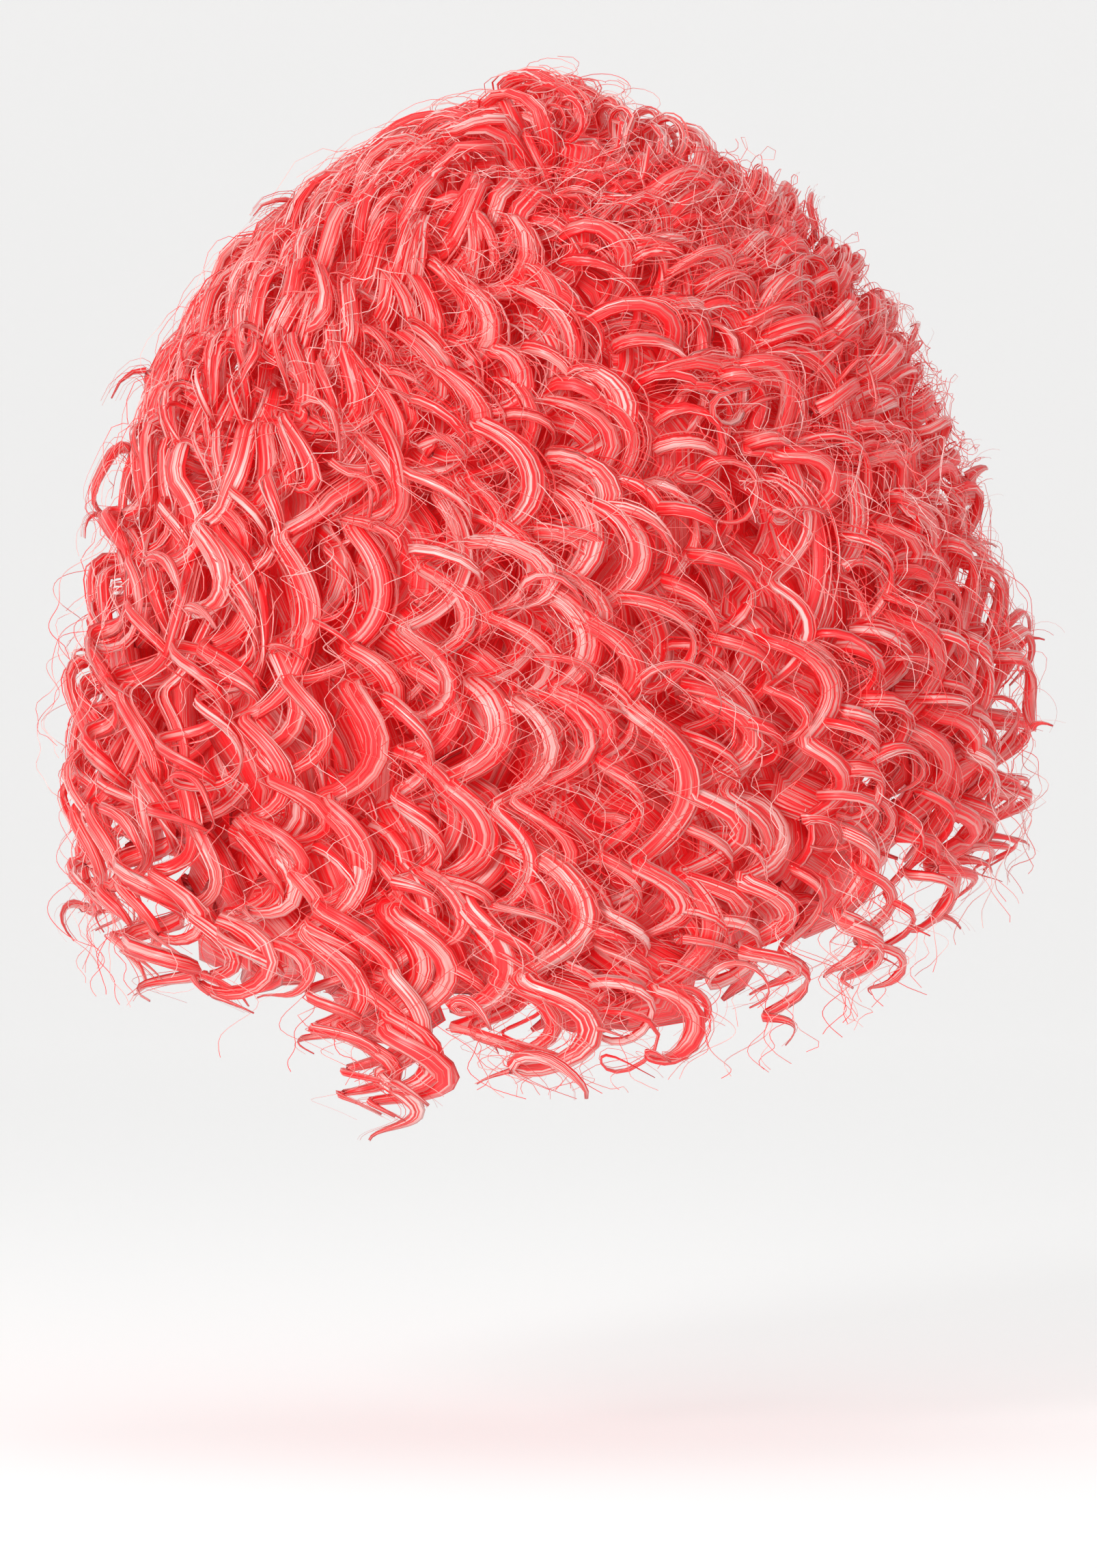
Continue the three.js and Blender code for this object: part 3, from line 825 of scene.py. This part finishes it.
def flyaway_tubes(above, count, rng):
    """Single fibres that arch over the hair of a weft, more of them on the tousled right side."""
    right = rng.uniform(0, 1, count) < right_flyaways
    turns = np.where(right, rng.uniform(-15, cheek_turn, count), rng.uniform(-cheek_turn, 15, count))
    over_brow = rng.uniform(0, 1, count) < brow_flyaways
    turns = np.where(over_brow, wrapped(180 + rng.uniform(-35, 35, count)), turns)
    share = np.broadcast_to(np.linspace(0, 1, flyaway_rings), (count, flyaway_rings))
    begin = (above["back"] if above else 0.03) + rng.uniform(-0.05, 0.08, count)
    end = np.minimum(begin + rng.uniform(0.1, 0.3, count), 1.0)
    origin, ray, along = hair_ray(turns[:, None], mix(begin[:, None], end[:, None], share))
    reach = distance_to(inside_hair, origin, ray)
    arch = rng.uniform(-6, 7, count)[:, None] * MM * np.sin(math.pi * np.clip(share * 1.1, 0, 1))
    height = arch - 7 * MM * (1 - share) ** 2
    guide = origin + ray * (reach + height)[..., None]
    onward = unit(np.gradient(guide, axis=1))
    across = unit(np.cross(ray, onward))
    out = np.cross(onward, across)
    for swing, curl in flyaway_curls:
        size = swing * MM * rng.uniform(0.4, 1.3, count)[:, None] * smoothstep(0, 0.15, share)
        length = curl * MM * rng.uniform(0.7, 1.4, count)[:, None]
        phase = math.tau * along / length + rng.uniform(0, math.tau, count)[:, None]
        guide = guide + across * (size * np.sin(phase))[..., None]
        guide = guide + out * (0.45 * size * np.cos(phase))[..., None]
    across, out = square_axes(guide, out)
    radius = np.broadcast_to(rng.uniform(0.12, 0.18, count)[:, None] * MM, share.shape)
    # the flyaways' pale tint is partly fibre tone and partly a painted highlight
    return joined_tubes(guide, across, out, radius, radius, shades(flyaway_tone_and_highlight, count, rng), sides=3)


def flat_tape(middle, half_wide, half_thick, tint):
    """One flat eight-sided tape on the cap, along the points of its middle line."""
    middle = middle[None]
    across, out = square_axes(middle, unit(middle - head_middle))
    return joined_tubes(middle, across, out, half_wide, half_thick, np.array([tint]), sides=8)


def track_tube(weft):
    """The sewn track of a weft, a flat tape round the cap."""
    turns = np.linspace(-180, 180, 91)
    flat = np.ones((1, len(turns)))
    middle = on_cap(turns, weft["seat"], track_lift)
    return flat_tape(middle, 3.6 * MM * flat, 0.5 * track_wall * flat, 0.2)


def whorl_patch():
    """The small patch at the whorl from which the top locks come."""
    across = np.linspace(-1, 1, 9)
    middle = on_cap(np.where(across < 0, 180, 0), np.abs(0.055 * across), track_lift)
    round_edge = np.sqrt(1.04 - across**2)[None]
    return flat_tape(middle, 8 * MM * round_edge, 0.6 * track_wall * round_edge, 0.1)


print("flyaways of a weft:", triangle_count([flyaway_tubes(None, flyaways_each, np.random.default_rng(0))]))

# %% [markdown]
# ## The five wefts
# Each weft has its track, its flyaways, three kinds of outer locks and the inner locks under them.
# What is left of its triangles is shared out among the strands. It replaces the frame's solid.

# %% Wefts


def weft_piece(row, weft):
    rng = np.random.default_rng(first_seed + row)
    above = weft_table[row - 1] if row else None
    turns = lock_turns(weft["outer"], rng)
    if weft["back"] == 1:
        turns = np.concatenate([turns, tuft_turns])
    pick = rng.uniform(0, 1, len(turns))
    edge = np.zeros(len(turns))
    parts = [track_tube(weft), flyaway_tubes(above, flyaways_each, rng)]
    if not above:
        parts.append(whorl_patch())
    groups = []
    for kind in ("wave", "ringlet", "wisp"):
        data = lock_kinds[kind]
        following = edge + mix(data["left"], data["right"], tousled(turns))
        chosen = turns[(pick >= edge) & (pick < following)]
        edge = following
        locks = lock_guides(weft, above, chosen, kind, rng.uniform(*outer_depths, len(chosen)), rng)
        sides = 7 if kind == "wave" else 5
        parts.append(tuft_tubes(locks, data["tuft"], tuft_shade if above else crown_shade, sides, rng))
        groups.append((locks, data["strands"]))
    data = lock_kinds["inner"]
    turns = lock_turns(weft["inner"], rng)
    locks = lock_guides(weft, above, turns, "inner", rng.uniform(*inner_depths, len(turns)), rng)
    # the inner tufts' deep red tint is painted shade between the locks
    parts.append(tuft_tubes(locks, data["tuft"], inner_painted_shade, 5, rng))
    groups.append((locks, data["strands"]))
    left = weft_budget - triangle_count(parts)
    scale = left / sum(strand_triangles(locks, each) for locks, each in groups)
    for locks, each in groups:
        counts = np.floor(each * scale + rng.uniform(0, 0.999, len(locks["guide"]))).astype(int)
        parts.append(strand_tubes(locks, counts, rng))
    piece = mesh_piece(weft["node"].replace("weft", "locks").replace("swirl", "locks"), parts, HAIR)
    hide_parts(weft["node"])
    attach(piece, "root")


for row, weft in enumerate(weft_table):
    weft_piece(row, weft)

# %% [markdown]
# ## The net cap and its band
# The cap is a knitted net. Its grid of square meshes is a sheet over the head form, from bmesh's grid
# operator bent by the same formula, and the Wireframe modifier turns each edge into a cord. The edge
# band is carried over from the frame: it only needs a ribbed elastic's finish.

# %% Net
meshes_round, meshes_down = 80, 27
cord_thickness = 0.7 * MM
joining_distance = 0.01 * MM


def net_cap():
    bm = bmesh.new()
    bmesh.ops.create_grid(bm, x_segments=meshes_round, y_segments=meshes_down, size=0.5)
    places = np.array([(v.co.x + 0.5, v.co.y + 0.5) for v in bm.verts])
    points = on_cap(places[:, 0] * 360 - 180, 0.004 + 0.986 * places[:, 1], 0.5 * cap_wall)
    for vert, point in zip(bm.verts, points):
        vert.co = point
    bmesh.ops.remove_doubles(bm, verts=bm.verts, dist=joining_distance)
    bmesh.ops.recalc_face_normals(bm, faces=bm.faces)
    mesh = bpy.data.meshes.new("net_cap")
    bm.to_mesh(mesh)
    bm.free()
    nylon = Finish("cap_net", base_color=(0.012, 0.011, 0.013, 1), roughness=0.5, sheen_weight=0.2)
    place = nylon.node("ShaderNodeTexCoord", None, None, 3)
    nylon.set("Roughness", nylon.range(nylon.noise(place, 900.0, 2.0), 0.3, 0.7, 0.42, 0.62))
    mesh.materials.append(nylon.material)
    cap = bpy.data.objects.new("net_cap", mesh)
    bpy.context.scene.collection.objects.link(cap)
    cords = cap.modifiers.new("cords", "WIREFRAME")
    cords.thickness = cord_thickness
    cords.use_even_offset = False
    cords.use_replace = True
    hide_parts("wig_cap")
    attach(cap, "root")
    return cap


net = net_cap()
print("net faces:", len(net.data.polygons))

# %% [markdown]
# Elastic tape has fine rubber threads under a woven face, so its light catches on narrow ribs that
# run along the band. Bands of a wave texture give the ribs, level by level, as bump and as a lighter
# colour on each rib, which is a painted highlight, and noise gives the fuzz.

# %% Elastic of the edge band


def elastic_finish():
    tape = Finish("edge_elastic", base_color=(0.02, 0.019, 0.021, 1), roughness=0.72)
    place = tape.node("ShaderNodeTexCoord", None, None, 3)
    ribs = {"wave_type": "BANDS", "bands_direction": "Z"}
    rib = tape.node("ShaderNodeTexWave", ribs, {"Vector": place, "Scale": 260.0, "Distortion": 0.6}, 1)
    fuzz = tape.noise(place, 1400.0, 3.0)
    dark, light = (0.009, 0.008, 0.01, 1), (0.045, 0.043, 0.047, 1)
    # the ribs are painted lighter than the tape between them: a painted highlight where light catches them
    tape.set("Base Color", tape.mix_colour(rib * 0.7 + fuzz * 0.3, dark, light))
    tape.set("Roughness", tape.range(fuzz, 0.3, 0.7, 0.6, 0.85))
    tape.set("Normal", tape.bump(rib + fuzz * 0.4, 0.6, 0.4 * MM))
    return tape.material


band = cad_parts["edge_band"]
band.data.materials.clear()
band.data.materials.append(elastic_finish())
print("edge band:", len(band.data.polygons), "faces")

# %% [markdown]
# ## Floor, light and camera
# The wig was photographed from behind with a long lens and soft frontal light from the left. The
# camera looks level along +Y, with the photograph's framing: 0.25 mm of the wig for each pixel of its
# 1606 by 2296 frame, and 110 pixels from the frame's top to the hair. The floor is a pale sweep that
# curves up behind, made from one profile.

# %% Stage
photo_height = 2296
pixel_size = 0.25 * MM
top_margin = 110
top_level = 45 * MM
view_centre = Vector((2 * MM, 0, top_level - (photo_height / 2 - top_margin) * pixel_size))
camera_distance = 2.6
sensor_height = 36
light_target = Vector((0, 0, -0.13))
lights = {
    # place, size across, power
    "key": ((-0.9, -1.7, 0.75), 0.5, 10),
    "front": ((-1.0, -2.4, 0.2), 0.9, 24),
    "fill": ((1.6, -1.5, 0.1), 1.6, 1),
    "top": ((0.1, 0.3, 1.5), 1.0, 2),
}


def studio_sweep():
    bm = bmesh.new()
    half, depth, height, radius = 14.0, 6.0, 6.0, 2.2
    floor_level = cad_low.z - 0.12
    start = [bm.verts.new((-half, -depth, floor_level)), bm.verts.new((-half, depth - radius, floor_level))]
    bm.edges.new(start)
    axis = (-half, depth - radius, floor_level + radius)
    bmesh.ops.spin(bm, geom=[start[1]], cent=axis, axis=(1, 0, 0), angle=math.pi / 2, steps=24)
    bm.verts.ensure_lookup_table()
    top = max(bm.verts, key=lambda v: (v.co.z, v.co.y))
    lifted = bmesh.ops.extrude_vert_indiv(bm, verts=[top])["verts"]
    bmesh.ops.translate(bm, verts=lifted, vec=(0, 0, height))
    bmesh.ops.remove_doubles(bm, verts=bm.verts, dist=joining_distance)
    wide = bmesh.ops.extrude_edge_only(bm, edges=bm.edges[:])["geom"]
    far_side = [g for g in wide if isinstance(g, bmesh.types.BMVert)]
    bmesh.ops.translate(bm, verts=far_side, vec=(2 * half, 0, 0))
    bmesh.ops.recalc_face_normals(bm, faces=bm.faces[:])
    mesh = bpy.data.meshes.new("floor_sweep")
    bm.to_mesh(mesh)
    bm.free()
    mesh.shade_smooth()
    finish = Finish("pale_floor", roughness=0.9, base_color=(0.93, 0.925, 0.92, 1), emission_strength=0.22)
    finish.set("Emission Color", (1, 1, 1, 1))
    mesh.materials.append(finish.material)
    sweep = bpy.data.objects.new("floor_sweep", mesh)
    bpy.context.scene.collection.objects.link(sweep)


def area_light(name, place, size, power):
    light = bpy.data.lights.new(name, "AREA")
    light.shape = "DISK"
    light.size = size
    light.energy = power
    lamp = bpy.data.objects.new(name, light)
    lamp.location = place
    lamp.rotation_euler = (light_target - Vector(place)).to_track_quat("-Z", "Y").to_euler()
    bpy.context.scene.collection.objects.link(lamp)


studio_sweep()
for name, (place, size, power) in lights.items():
    area_light(name, place, size, power)

world = bpy.data.worlds.new("studio")
world.use_nodes = True
background = world.node_tree.nodes["Background"]
background.inputs["Color"].default_value = (1, 1, 1, 1)
background.inputs["Strength"].default_value = 0.58
bpy.context.scene.world = world
bpy.context.scene.view_settings.view_transform = "Standard"

camera_data = bpy.data.cameras.new("camera")
camera_data.sensor_fit = "VERTICAL"
camera_data.sensor_height = sensor_height
camera_data.lens = sensor_height * camera_distance / (photo_height * pixel_size)
camera_data.clip_end = 20
camera = bpy.data.objects.new("camera", camera_data)
camera.location = view_centre + Vector((0, -camera_distance, 0))
camera.rotation_euler = (math.pi / 2, 0, 0)
bpy.context.scene.collection.objects.link(camera)
bpy.context.scene.camera = camera
print("lights:", ", ".join(lights), "and the lens in mm:", round(camera_data.lens))
